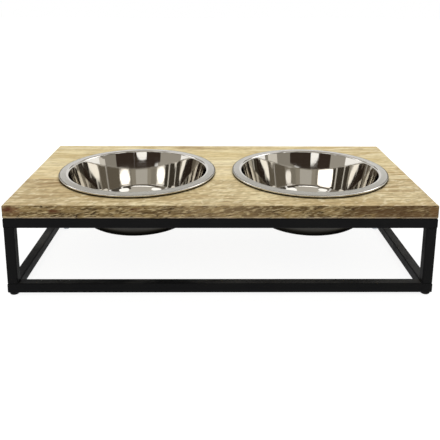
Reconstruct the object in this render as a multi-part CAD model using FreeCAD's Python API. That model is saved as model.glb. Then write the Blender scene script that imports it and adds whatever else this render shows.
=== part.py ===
# A raised pet bowl stand: a glued-up mango wood top on a welded square-tube frame, with two
# stainless steel bowls that drop into round cut-outs and lift out for washing.
#
# Units are millimetres. +X runs along the stand, +Y from the front edge to the back and +Z up.
# The origin is on the floor, under the middle of the top.
import FreeCAD
import Part
import math
import os

# Wooden top. The margins are measured on the upper face, from a bowl's rim to the top's edge,
# and the bowls sit nearer the front edge and the right-hand end.
TOP_THICKNESS = 16.0
LEFT_MARGIN = 37.4
RIGHT_MARGIN = 26.9
FRONT_MARGIN = 24.0
REAR_MARGIN = 34.0
RIM_GAP = 23.7
FRONT_BOARD_WIDTH = 99.0
MIDDLE_BOARD_WIDTH = 62.0
TOP_EDGE_RADIUS = 0.8
CUT_OUT_CHAMFER = 1.0

# Welded frame of square steel tube: two mitred rings with a post between them at each corner.
FRAME_HEIGHT = 97.0
TUBE_SIZE = 12.7
TUBE_WALL = 1.2
TUBE_INNER_RADIUS = 0.6

# Domed rubber feet, stuck under the corners of the lower ring.
FOOT_DIAMETER = 12.4
FOOT_HEIGHT = 3.6
FOOT_SIDE_HEIGHT = 1.0
FOOT_FLAT_DIAMETER = 6.0

# Bowls pressed from sheet. The body is measured outside, level with the top's upper face, and
# the depth runs from that face down to the ring that the bowl stands on. Bends are measured at
# the middle of the sheet.
SHEET = 0.7
BODY_DIAMETER = 190.0
BOWL_DEPTH = 68.5
WALL_DRAFT_DEGREES = 12.6
BASE_BEND_RADIUS = 29.0
BASE_RING_WIDTH = 14.0
BASE_RECESS_RISE = 1.0
BASE_RECESS_SLOPE_WIDTH = 5.0
BASE_RECESS_BEND_RADIUS = 4.0
RIM_WIDTH = 13.0
RIM_SLOPE_RISE = 0.9
RIM_CREST_BEND_RADIUS = 3.0
HEM_WIDTH = 5.0
HEM_EDGE_HEIGHT = 0.2
HEM_BEND_RADIUS = 1.5
CUT_OUT_CLEARANCE = 2.5
SEAT_CLEARANCE = 0.2

# Pan-head wood screws, driven up through the upper ring. The cover is the wood left above a tip.
SCREW_DIAMETER = 4.0
SCREW_HEAD_DIAMETER = 7.4
SCREW_HEAD_HEIGHT = 2.6
SCREW_HEAD_SIDE_HEIGHT = 1.0
SCREW_HEAD_FLAT_DIAMETER = 4.0
SCREW_COVER = 5.0
SCREW_POINT_LENGTH = 4.5
SCREW_HOLE_CLEARANCE = 0.3
SCREW_PILOT_CLEARANCE = 0.05
SCREW_END_DISTANCE = 74.0

# How far a cutting tool runs past the faces that it cuts.
OVERRUN = 2.0

# Sizes that follow from those above.
TUBE_OUTER_RADIUS = TUBE_INNER_RADIUS + TUBE_WALL
RIM_DIAMETER = BODY_DIAMETER + 2 * RIM_WIDTH
CUT_OUT_DIAMETER = BODY_DIAMETER + 2 * CUT_OUT_CLEARANCE
TOP_LENGTH = LEFT_MARGIN + RIM_DIAMETER + RIM_GAP + RIM_DIAMETER + RIGHT_MARGIN
TOP_DEPTH = FRONT_MARGIN + RIM_DIAMETER + REAR_MARGIN

# Levels, from the floor up.
FRAME_FOOT = FOOT_HEIGHT
LOWER_RING_TOP = FRAME_FOOT + TUBE_SIZE
FRAME_TOP = FRAME_FOOT + FRAME_HEIGHT
UPPER_RING_FOOT = FRAME_TOP - TUBE_SIZE
TOP_FACE = FRAME_TOP + TOP_THICKNESS
SCREW_TIP = TOP_FACE - SCREW_COVER

# Places in plan.
LEFT_END = -TOP_LENGTH / 2
RIGHT_END = TOP_LENGTH / 2
FRONT_EDGE = -TOP_DEPTH / 2
REAR_EDGE = TOP_DEPTH / 2
FRONT_JOINT = FRONT_EDGE + FRONT_BOARD_WIDTH
REAR_JOINT = FRONT_JOINT + MIDDLE_BOARD_WIDTH
RAIL_X = TOP_LENGTH / 2 - TUBE_SIZE / 2
RAIL_Y = TOP_DEPTH / 2 - TUBE_SIZE / 2
CORNERS = {
    "front_left": (-RAIL_X, -RAIL_Y),
    "front_right": (RAIL_X, -RAIL_Y),
    "rear_right": (RAIL_X, RAIL_Y),
    "rear_left": (-RAIL_X, RAIL_Y),
}
BOWL_Y = FRONT_EDGE + FRONT_MARGIN + RIM_DIAMETER / 2
BOWL_X = {
    "left": LEFT_END + LEFT_MARGIN + RIM_DIAMETER / 2,
    "right": RIGHT_END - RIGHT_MARGIN - RIM_DIAMETER / 2,
}

CENTRE = FreeCAD.Vector(0, 0, 0)
X_AXIS = FreeCAD.Vector(1, 0, 0)
Y_AXIS = FreeCAD.Vector(0, 1, 0)
Z_AXIS = FreeCAD.Vector(0, 0, 1)


def block(low, high):
    """A box between two opposite corners."""
    size = high - low
    return Part.makeBox(size.x, size.y, size.z, low)


def upright(diameter, x, y, bottom, top):
    """An upright cylinder between two levels."""
    foot = FreeCAD.Vector(x, y, bottom)
    return Part.makeCylinder(diameter / 2, top - bottom, foot)


def in_profile(radius, height):
    """A point of an outline that is turned about Z."""
    return FreeCAD.Vector(radius, 0, height)


def turned(outline):
    """The solid turned about Z from a closed outline of edges in the XZ plane."""
    wire = Part.Wire(Part.__sortEdges__(outline))
    return Part.Face(wire).revolve(CENTRE, Z_AXIS, 360)


def domed_pad(diameter, flat_diameter, height, side_height):
    """A round pad, flat above and domed below down to a small flat at zero."""
    rim = diameter / 2
    flat = flat_diameter / 2
    shoulder = height - side_height
    eighth = math.pi / 4
    foot = in_profile(0, 0)
    flat_edge = in_profile(flat, 0)
    bulge = in_profile(flat + (rim - flat) * math.sin(eighth), shoulder * (1 - math.cos(eighth)))
    side_foot = in_profile(rim, shoulder)
    side_top = in_profile(rim, height)
    head = in_profile(0, height)
    outline = [
        Part.LineSegment(foot, flat_edge).toShape(),
        Part.Arc(flat_edge, bulge, side_foot).toShape(),
        Part.LineSegment(side_foot, side_top).toShape(),
        Part.LineSegment(side_top, head).toShape(),
        Part.LineSegment(head, foot).toShape(),
    ]
    return turned(outline)


# Screws


def screw_places():
    """Each screw's place in plan: two in each long rail, one in each side rail."""
    long_x = TOP_LENGTH / 2 - SCREW_END_DISTANCE
    side_y = (FRONT_JOINT + REAR_JOINT) / 2
    long_rails = [(sx * long_x, sy * RAIL_Y) for sy in (-1, 1) for sx in (-1, 1)]
    return long_rails + [(-RAIL_X, side_y), (RAIL_X, side_y)]


def drilled(shape, clearance, bottom, top):
    """The shape with an upright hole for every screw."""
    diameter = SCREW_DIAMETER + 2 * clearance
    for x, y in screw_places():
        shape = shape.cut(upright(diameter, x, y, bottom, top))
    return shape


def screw(x, y):
    """A pan-head screw that points up, its head against the underside of the upper ring."""
    head = domed_pad(
        SCREW_HEAD_DIAMETER, SCREW_HEAD_FLAT_DIAMETER, SCREW_HEAD_HEIGHT, SCREW_HEAD_SIDE_HEIGHT
    )
    head.translate(FreeCAD.Vector(x, y, UPPER_RING_FOOT - SCREW_HEAD_HEIGHT))
    shoulder = SCREW_TIP - SCREW_POINT_LENGTH
    shank = upright(SCREW_DIAMETER, x, y, UPPER_RING_FOOT, shoulder)
    point_foot = FreeCAD.Vector(x, y, shoulder)
    point = Part.makeCone(SCREW_DIAMETER / 2, 0, SCREW_POINT_LENGTH, point_foot)
    return head.fuse([shank, point]).removeSplitter()


def screws():
    """All the top's screws, as separate solids of one group."""
    return {"top_screws": Part.makeCompound([screw(x, y) for x, y in screw_places()])}


# Wooden top


def panel():
    """The whole glued-up top: eased edges, two chamfered cut-outs and the screws' pilot holes."""
    low = FreeCAD.Vector(LEFT_END, FRONT_EDGE, FRAME_TOP)
    high = FreeCAD.Vector(RIGHT_END, REAR_EDGE, TOP_FACE)
    top = block(low, high)
    top = top.makeFillet(TOP_EDGE_RADIUS, top.Edges)
    hole = CUT_OUT_DIAMETER / 2
    rise = CUT_OUT_CHAMFER + OVERRUN
    for x in BOWL_X.values():
        cut_out = upright(CUT_OUT_DIAMETER, x, BOWL_Y, FRAME_TOP - OVERRUN, TOP_FACE + OVERRUN)
        mouth = FreeCAD.Vector(x, BOWL_Y, TOP_FACE - CUT_OUT_CHAMFER)
        chamfer = Part.makeCone(hole, hole + rise, rise, mouth)
        top = top.cut(cut_out).cut(chamfer)
    return drilled(top, SCREW_PILOT_CLEARANCE, FRAME_TOP - OVERRUN, SCREW_TIP)


def boards():
    """The top's boards, parted from the panel along its two glue lines.

    The cut-outs leave the middle board in three pieces.
    """
    whole = panel()
    edges = {
        "front_board": (FRONT_EDGE, FRONT_JOINT),
        "middle_board": (FRONT_JOINT, REAR_JOINT),
        "rear_board": (REAR_JOINT, REAR_EDGE),
    }
    pieces = {}
    for name, (front, rear) in edges.items():
        low = FreeCAD.Vector(LEFT_END, front, FRAME_TOP)
        high = FreeCAD.Vector(RIGHT_END, rear, TOP_FACE)
        pieces[name] = whole.common(block(low, high))
    middle = pieces.pop("middle_board")
    in_order = sorted(middle.Solids, key=lambda solid: solid.CenterOfMass.x)
    for place, solid in zip(("left", "centre", "right"), in_order):
        pieces["middle_board_" + place] = solid
    return pieces


# Frame


def square_bar(length, size, corner_radius):
    """A solid square bar along X with rounded long edges, centred on the origin."""
    half = FreeCAD.Vector(length, size, size) / 2
    bar = block(-half, half)
    long_edges = [edge for edge in bar.Edges if edge.tangentAt(0).cross(X_AXIS).Length < 1]
    return bar.makeFillet(corner_radius, long_edges)


def tube(length):
    """A length of hollow square tube along X, centred on the origin."""
    bore_size = TUBE_SIZE - 2 * TUBE_WALL
    bore = square_bar(length + 2 * OVERRUN, bore_size, TUBE_INNER_RADIUS)
    return square_bar(length, TUBE_SIZE, TUBE_OUTER_RADIUS).cut(bore)


def mitred_tube(length):
    """A tube along X whose ends are mitred at 45 degrees, with its short side towards +Y."""
    half = length / 2
    near = -TUBE_SIZE / 2
    far = TUBE_SIZE / 2
    plan = [
        FreeCAD.Vector(-half, near, near),
        FreeCAD.Vector(half, near, near),
        FreeCAD.Vector(half - TUBE_SIZE, far, near),
        FreeCAD.Vector(-half + TUBE_SIZE, far, near),
    ]
    wedge = Part.Face(Part.makePolygon(plan + plan[:1])).extrude(Z_AXIS * TUBE_SIZE)
    return tube(length).common(wedge)


def ring(foot):
    """Four mitred rails that make a flat ring, standing at the given level."""
    level = foot + TUBE_SIZE / 2
    places = {
        "front": (TOP_LENGTH, 0, FreeCAD.Vector(0, -RAIL_Y, level)),
        "right": (TOP_DEPTH, 90, FreeCAD.Vector(RAIL_X, 0, level)),
        "rear": (TOP_LENGTH, 180, FreeCAD.Vector(0, RAIL_Y, level)),
        "left": (TOP_DEPTH, 270, FreeCAD.Vector(-RAIL_X, 0, level)),
    }
    rails = {}
    for side, (length, turn, middle) in places.items():
        rail = mitred_tube(length)
        rail.rotate(CENTRE, Z_AXIS, turn)
        rail.translate(middle)
        rails[side] = rail
    return rails


def frame():
    """The rails of both rings, the upper ones drilled for the screws, and the corner posts."""
    pieces = {}
    for side, rail in ring(FRAME_FOOT).items():
        pieces["lower_rail_" + side] = rail
    below = UPPER_RING_FOOT - OVERRUN
    above = FRAME_TOP + OVERRUN
    for side, rail in ring(UPPER_RING_FOOT).items():
        pieces["upper_rail_" + side] = drilled(rail, SCREW_HOLE_CLEARANCE, below, above)
    middle = (LOWER_RING_TOP + UPPER_RING_FOOT) / 2
    for corner, (x, y) in CORNERS.items():
        post = tube(UPPER_RING_FOOT - LOWER_RING_TOP)
        post.rotate(CENTRE, Y_AXIS, 90)
        post.translate(FreeCAD.Vector(x, y, middle))
        pieces["post_" + corner] = post
    return pieces


# Feet


def feet():
    """A domed foot under each corner of the frame."""
    pieces = {}
    for corner, (x, y) in CORNERS.items():
        pad = domed_pad(FOOT_DIAMETER, FOOT_FLAT_DIAMETER, FOOT_HEIGHT, FOOT_SIDE_HEIGHT)
        pad.translate(FreeCAD.Vector(x, y, 0))
        pieces["foot_" + corner] = pad
    return pieces


# Bowls


def bent_line(corners, radii, offset):
    """A line through the corners, moved to its left and with every corner but the ends bent round.

    The radii belong to the line before it is moved, so two offsets of one line stay parallel.
    Returns the edges in order, the first point and the last.
    """
    steps = [(b - a).normalize() for a, b in zip(corners, corners[1:])]
    lefts = [FreeCAD.Vector(-step.z, 0, step.x) for step in steps]
    first = corners[0] + lefts[0] * offset
    last = corners[-1] + lefts[-1] * offset
    edges = []
    start = first
    for i, radius in enumerate(radii):
        turn = math.atan2(lefts[i].dot(steps[i + 1]), steps[i].dot(steps[i + 1]))
        split = (lefts[i] + lefts[i + 1]).normalize()
        corner = corners[i + 1] + split * (offset / math.cos(turn / 2))
        bend = radius - math.copysign(offset, turn)
        reach = bend * math.tan(abs(turn) / 2)
        arc_start = corner - steps[i] * reach
        arc_end = corner + steps[i + 1] * reach
        inset = bend / math.cos(turn / 2) - bend
        arc_middle = corner + split * math.copysign(inset, turn)
        edges.append(Part.LineSegment(start, arc_start).toShape())
        edges.append(Part.Arc(arc_start, arc_middle, arc_end).toShape())
        start = arc_end
    edges.append(Part.LineSegment(start, last).toShape())
    return edges, first, last


def bowl_line():
    """The middle of the bowl's sheet, from the tucked hem over the rim and down to the axis.

    Heights are measured from the top's upper face. Returns the corners and their bend radii.
    """
    draft = math.radians(WALL_DRAFT_DEGREES)
    half = SHEET / 2
    wall = BODY_DIAMETER / 2 - half / math.cos(draft)
    outer = RIM_DIAMETER / 2 - half
    hem = SEAT_CLEARANCE + half
    edge = hem + 2 * HEM_BEND_RADIUS + HEM_EDGE_HEIGHT
    crest = edge + RIM_SLOPE_RISE
    base = half - BOWL_DEPTH
    base_corner = wall + base * math.tan(draft)
    bend_reach = BASE_BEND_RADIUS * math.tan((math.pi / 2 - draft) / 2)
    recess = base_corner - bend_reach - BASE_RING_WIDTH
    recess_top = base + BASE_RECESS_RISE
    bends = [
        (outer, hem, HEM_BEND_RADIUS),
        (outer, edge, HEM_BEND_RADIUS),
        (wall + crest * math.tan(draft), crest, RIM_CREST_BEND_RADIUS),
        (base_corner, base, BASE_BEND_RADIUS),
        (recess, base, BASE_RECESS_BEND_RADIUS),
        (recess - BASE_RECESS_SLOPE_WIDTH, recess_top, BASE_RECESS_BEND_RADIUS),
    ]
    corners = [in_profile(outer - HEM_WIDTH, hem)]
    corners += [in_profile(radius, level) for radius, level, _ in bends]
    corners.append(in_profile(0, recess_top))
    return corners, [bend for _, _, bend in bends]


def bowl():
    """A pressed bowl with a hemmed rim, its axis on Z and the top's upper face at zero."""
    corners, radii = bowl_line()
    outside, outside_hem, outside_base = bent_line(corners, radii, SHEET / 2)
    inside, inside_hem, inside_base = bent_line(corners, radii, -SHEET / 2)
    hem_end = Part.LineSegment(outside_hem, inside_hem).toShape()
    axis = Part.LineSegment(outside_base, inside_base).toShape()
    return turned(outside + inside + [hem_end, axis])


def bowls():
    """The two bowls, seated in their cut-outs."""
    pieces = {}
    for side, x in BOWL_X.items():
        dish = bowl()
        dish.translate(FreeCAD.Vector(x, BOWL_Y, TOP_FACE))
        pieces["bowl_" + side] = dish
    return pieces


def main():
    """Builds every piece and writes each to its own file."""
    os.makedirs("parts", exist_ok=True)
    pieces = {**boards(), **frame(), **feet(), **bowls(), **screws()}
    for name, shape in pieces.items():
        shape.exportStep("parts/" + name + ".step")
        print(f"{name}: {len(shape.Solids)} solids, {shape.Volume:.1f} mm3, valid {shape.isValid()}")


main()
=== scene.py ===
"""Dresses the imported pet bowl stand: mango wood top, black tube frame and polished steel bowls.

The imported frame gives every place. Size fields are in millimetres, and Blender works in metres.
+X runs along the stand, +Y from the front edge to the back and +Z up.
"""
import logging
import math
from dataclasses import dataclass
from enum import Enum
from typing import Any

import bmesh
import bpy
from bpy.types import Material, Mesh, Node, NodeSocket, NodeTree, Object, World
from mathutils import Matrix, Vector, noise


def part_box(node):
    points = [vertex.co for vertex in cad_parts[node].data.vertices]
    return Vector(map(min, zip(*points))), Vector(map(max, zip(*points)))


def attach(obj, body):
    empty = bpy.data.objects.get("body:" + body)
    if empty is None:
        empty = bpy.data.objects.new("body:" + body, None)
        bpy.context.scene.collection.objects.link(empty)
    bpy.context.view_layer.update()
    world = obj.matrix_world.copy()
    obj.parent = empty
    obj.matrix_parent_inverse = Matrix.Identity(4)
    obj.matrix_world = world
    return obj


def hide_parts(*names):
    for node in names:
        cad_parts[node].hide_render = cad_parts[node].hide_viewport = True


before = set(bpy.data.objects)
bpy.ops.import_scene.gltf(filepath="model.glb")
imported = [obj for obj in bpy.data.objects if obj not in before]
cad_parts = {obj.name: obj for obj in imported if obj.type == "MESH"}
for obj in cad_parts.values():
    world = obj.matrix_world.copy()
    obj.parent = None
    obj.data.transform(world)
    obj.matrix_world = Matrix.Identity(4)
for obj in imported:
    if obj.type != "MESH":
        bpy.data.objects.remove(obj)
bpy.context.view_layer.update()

MM = 0.001
MERGE_DISTANCE = 0.002 * MM
IMAGE_PIXELS = 440
LOG = logging.getLogger("bowl_stand")

Pair = tuple[float, float]
Triple = tuple[float, float, float]
Source = Node | NodeSocket


class Body(Enum):
    """The bodies that pieces ride on."""

    STAND = "stand"
    LEFT_BOWL = "left_bowl"
    RIGHT_BOWL = "right_bowl"


class Slot(Enum):
    """The record's material slots for the pieces made here, passed along but not set."""

    WOOD = "mango_wood"
    COATING = "black_powder_coat"
    STEEL = "stainless_steel"
    ZINC = "zinc_plated_steel"


class EdgeKind(Enum):
    """How a stretch of a board's outline was made."""

    SAWN = "sawn along the grain"
    END_GRAIN = "cut across the grain"
    GLUED = "planed for glue"
    CUT_OUT = "routed for a bowl"


# Helpers for colours, nodes and meshes


def linear(colour: str) -> tuple[float, float, float, float]:
    """Turns an sRGB hex colour to linear.

    Args:
        colour: six hex digits after a hash.

    Returns:
        Linear red, green and blue, and an alpha of 1.
    """
    channels = [int(colour[i : i + 2], 16) / 255 for i in (1, 3, 5)]
    red, green, blue = (c / 12.92 if c <= 0.04045 else ((c + 0.055) / 1.055) ** 2.4 for c in channels)
    return red, green, blue, 1.0


def metres(sizes: Triple) -> Triple:
    """Turns three millimetre sizes to metres."""
    x, y, z = (size * MM for size in sizes)
    return x, y, z


def towards(azimuth: float, elevation: float) -> Vector:
    """The direction at an azimuth, from the rear towards the right, and an elevation, in degrees."""
    turn, rise = math.radians(azimuth), math.radians(elevation)
    return Vector((math.sin(turn) * math.cos(rise), math.cos(turn) * math.cos(rise), math.sin(rise)))


def add_node(tree: NodeTree, kind: str, inputs: dict | None = None, **settings: Any) -> Node:
    """Adds a node to a tree.

    Args:
        tree: the tree that gets the node.
        kind: the node's type.
        inputs: for each input, by name or number, the value to set, the output to link or the
            node whose first live output is linked.
        settings: the node's own settings, by name.

    Returns:
        The new node.
    """
    node = tree.nodes.new(kind)
    for name, value in settings.items():
        setattr(node, name, value)
    for key, value in (inputs or {}).items():
        if isinstance(value, Node):
            value = next(output for output in value.outputs if output.enabled)
        if isinstance(value, NodeSocket):
            tree.links.new(value, node.inputs[key])
        else:
            node.inputs[key].default_value = value
    return node


def empty_tree(owner: Material | World) -> NodeTree:
    """Gives a material or a world a tree without nodes.

    Args:
        owner: the material or world.

    Returns:
        The empty tree.
    """
    owner.use_nodes = True
    owner.node_tree.nodes.clear()
    return owner.node_tree


def start_material(name: str) -> tuple[Material, NodeTree, NodeSocket]:
    """Starts a finish's material.

    Args:
        name: the finish's name.

    Returns:
        The material, its tree and the object coordinates.
    """
    material = bpy.data.materials.new(name)
    tree = empty_tree(material)
    return material, tree, add_node(tree, "ShaderNodeTexCoord").outputs["Object"]


def end_material(material: Material, shading: dict[str, Any]) -> Material:
    """Ends a finish's material with its shader.

    Args:
        material: the material.
        shading: the value or source of each shader input that isn't left alone, by name.

    Returns:
        The same material.
    """
    shader = add_node(material.node_tree, "ShaderNodeBsdfPrincipled", shading)
    add_node(material.node_tree, "ShaderNodeOutputMaterial", {"Surface": shader})
    return material


def mottle(
    tree: NodeTree,
    place: Source,
    size: Triple,
    between: Pair,
    reach: float = 1.0,
    turn: Triple = (0.0, 0.0, 0.0),
    shift: Triple = (0.0, 0.0, 0.0),
    detail: float = 2.0,
) -> Node:
    """A soft random pattern with cells of a real size.

    Args:
        tree: the material's tree.
        place: the coordinates, in metres.
        size: a cell's size along each axis, in millimetres.
        between: the pattern's values that become nothing and everything.
        reach: the value given for everything.
        turn: the pattern's turn about each axis, in degrees.
        shift: the pattern's offset, in millimetres.
        detail: how many finer layers it has.

    Returns:
        The node that gives 0 to the reach.
    """
    angles = tuple(math.radians(angle) for angle in turn)
    cells = add_node(
        tree,
        "ShaderNodeMapping",
        {"Vector": place, "Location": metres(shift), "Rotation": angles, "Scale": metres(size)},
        vector_type="TEXTURE",
    )
    cloud = add_node(tree, "ShaderNodeTexNoise", {"Vector": cells, "Scale": 1.0, "Detail": detail})
    return add_node(
        tree,
        "ShaderNodeMapRange",
        {"Value": cloud, "From Min": between[0], "From Max": between[1], "To Max": reach},
        interpolation_type="SMOOTHSTEP",
    )


def glaze(tree: NodeTree, ground: str, *coats: tuple[Source, str]) -> Node:
    """Lays coats of colour over a ground, one on the other.

    Args:
        tree: the material's tree.
        ground: the ground's colour.
        coats: the pattern, from 0 to 1, that each coat follows, and its colour.

    Returns:
        The node that gives the colour on top.
    """
    colour = linear(ground)
    for pattern, coat in coats:
        # A Mix node's inputs 6 and 7 are the colours, which share their names with other inputs.
        colour = add_node(tree, "ShaderNodeMix", {0: pattern, 6: colour, 7: linear(coat)}, data_type="RGBA")
    return colour


def new_object(name: str, mesh: Mesh) -> Object:
    """Links a mesh to the scene as an object at the origin.

    Args:
        name: the object's name.
        mesh: its mesh.

    Returns:
        The object.
    """
    piece = bpy.data.objects.new(name, mesh)
    bpy.context.scene.collection.objects.link(piece)
    return piece


def new_tree(name: str, sockets: dict[str, str]) -> tuple[NodeTree, Node]:
    """Starts a Geometry Nodes tree.

    Args:
        name: the tree's name.
        sockets: each named input's socket type.

    Returns:
        The tree and its group input.
    """
    tree = bpy.data.node_groups.new(name, "GeometryNodeTree")
    tree.interface.new_socket("Geometry", in_out="INPUT", socket_type="NodeSocketGeometry")
    tree.interface.new_socket("Geometry", in_out="OUTPUT", socket_type="NodeSocketGeometry")
    for socket, kind in sockets.items():
        tree.interface.new_socket(socket, in_out="INPUT", socket_type=kind)
    return tree, add_node(tree, "NodeGroupInput")


def grow(name: str, seed: Mesh, tree: NodeTree, values: dict[str, Any]) -> Object:
    """Runs a Geometry Nodes tree on a seed mesh.

    Args:
        name: the finished piece's name.
        seed: the mesh that the tree starts from.
        tree: the Geometry Nodes tree.
        values: the tree's inputs by name.

    Returns:
        An object with the result as a plain mesh and no modifier.
    """
    piece = new_object(name, seed)
    modifier = piece.modifiers.new(tree.name, "NODES")
    modifier.node_group = tree
    for item in tree.interface.items_tree:
        if item.item_type == "SOCKET" and item.in_out == "INPUT" and item.name in values:
            modifier[item.identifier] = values[item.name]
    evaluated = piece.evaluated_get(bpy.context.evaluated_depsgraph_get())
    mesh = bpy.data.meshes.new_from_object(evaluated)
    piece.modifiers.remove(modifier)
    piece.data = mesh
    mesh.name = name
    return piece


def face_outwards(mesh: Mesh) -> None:
    """Merges doubles and turns every face of a closed mesh outwards.

    Args:
        mesh: the mesh to mend.
    """
    work = bmesh.new()
    work.from_mesh(mesh)
    bmesh.ops.remove_doubles(work, verts=work.verts, dist=MERGE_DISTANCE)
    bmesh.ops.recalc_face_normals(work, faces=work.faces)
    work.to_mesh(mesh)
    work.free()


def hand_over(piece: Object, body: Body, slot: Slot, *nodes: str) -> None:
    """Ties a finished piece to its body and hides the CAD nodes that it stands for.

    Args:
        piece: the finished piece.
        body: the body that it moves with.
        slot: the record's slot for its finish; not used.
        nodes: the CAD nodes that it replaces.
    """
    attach(piece, body.value)
    if nodes:
        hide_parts(*nodes)
    LOG.info("%s: %d faces, rides on %s", piece.name, len(piece.data.polygons), body.value)


# Finishes


@dataclass(frozen=True)
class Stain:
    """A patch of deeper colour in the wood, such as a knot or a run of heartwood.

    It fades in from its rim, and has its full strength from the share full_from of the way in.
    """

    place: Triple
    reach: Triple
    colour: str
    strength: float
    full_from: float = 0.6

    def coat(self, tree: NodeTree, place: Source, broken: Source) -> tuple[Node, str]:
        """The stain as a coat of colour.

        Args:
            tree: the material's tree.
            place: the coordinates, in metres.
            broken: a pattern from 0 to 1 that breaks the stain up along the grain.

        Returns:
            The node that says how far it shows, and its colour.
        """
        patch = add_node(
            tree,
            "ShaderNodeMapping",
            {"Vector": place, "Location": metres(self.place), "Scale": metres(self.reach)},
            vector_type="TEXTURE",
        )
        fade = add_node(tree, "ShaderNodeTexGradient", {"Vector": patch}, gradient_type="SPHERICAL")
        shown = add_node(
            tree,
            "ShaderNodeMapRange",
            {"Value": fade.outputs["Fac"], "From Max": self.full_from, "To Max": self.strength},
        )
        return add_node(tree, "ShaderNodeMath", {0: shown, 1: broken}, operation="MULTIPLY"), self.colour


@dataclass(frozen=True)
class PlanedMango:
    """Mango wood, planed and matt lacquered.

    Pale straw colour, long grain, short dark pores and ripples across the grain.
    """

    name: str
    pale: str
    warm: str
    grain: str
    shift: Triple
    ripple: float
    streaks: float
    stains: tuple[Stain, ...]
    # The next two colours are the ripples' painted shade and painted highlight.
    painted_ripple_shade: str = "#8A7446"
    painted_glint: str = "#F0E4BF"
    pore: str = "#7E6238"
    fibre_strength: float = 0.4

    def material(self) -> Material:
        """Builds the finish.

        Returns:
            The material.
        """
        material, tree, place = start_material(self.name)
        # Broad drifts of tone along a board.
        broad = mottle(tree, place, (190, 26, 26), (0.34, 0.66), shift=self.shift, detail=3.0)
        # Growth lines: the level lines of a slow swell, as where a plane cuts through year rings.
        swell = mottle(tree, place, (330, 30, 60), (0.0, 1.0), shift=self.shift, reach=40.0, detail=1.5)
        wave = add_node(tree, "ShaderNodeMath", {0: swell}, operation="SINE")
        line = add_node(tree, "ShaderNodeMapRange", {"Value": wave, "From Min": 0.1, "To Max": self.streaks})
        # Fibre is finer than this in real wood; it is drawn about two pixels deep so that it shows.
        fibre = mottle(
            tree, place, (40, 4.6, 4.6), (0.36, 0.7), turn=(0, 0, 3), shift=self.shift, detail=3.0
        )
        soft = add_node(tree, "ShaderNodeMath", {0: fibre, 1: self.fibre_strength}, operation="MULTIPLY")
        # Ripples of wavy grain, painted as short slanting dashes across the board: dark ones as painted
        # shade and pale ones as painted highlight, where real ripples catch the light.
        ripple = mottle(
            tree, place, (9, 4.8, 5), (0.4, 0.64), self.ripple, (0, 0, 27), shift=self.shift, detail=1.5
        )
        painted_glint = mottle(
            tree, place, (9, 6, 6), (0.56, 0.7), self.ripple, (0, 0, 24), shift=(19, 7, 0), detail=1.0
        )
        pores = mottle(tree, place, (12, 2.4, 2.4), (0.62, 0.74), shift=self.shift, reach=0.5, detail=1.0)
        colour = glaze(
            tree,
            self.pale,
            (broad, self.warm),
            (line, self.grain),
            (soft, self.grain),
            *(stain.coat(tree, place, fibre) for stain in self.stains),
            (ripple, self.painted_ripple_shade),
            (painted_glint, self.painted_glint),
            (pores, self.pore),
        )
        depth = add_node(tree, "ShaderNodeMath", {0: fibre, 1: pores}, operation="ADD")
        bump = add_node(
            tree, "ShaderNodeBump", {"Strength": 0.35, "Distance": 0.12 * MM, "Height": depth}, invert=True
        )
        rough = add_node(tree, "ShaderNodeMapRange", {"Value": fibre, "To Min": 0.5, "To Max": 0.66})
        return end_material(
            material, {"Base Color": colour, "Roughness": rough, "Normal": bump, "Specular IOR Level": 0.3}
        )


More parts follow.
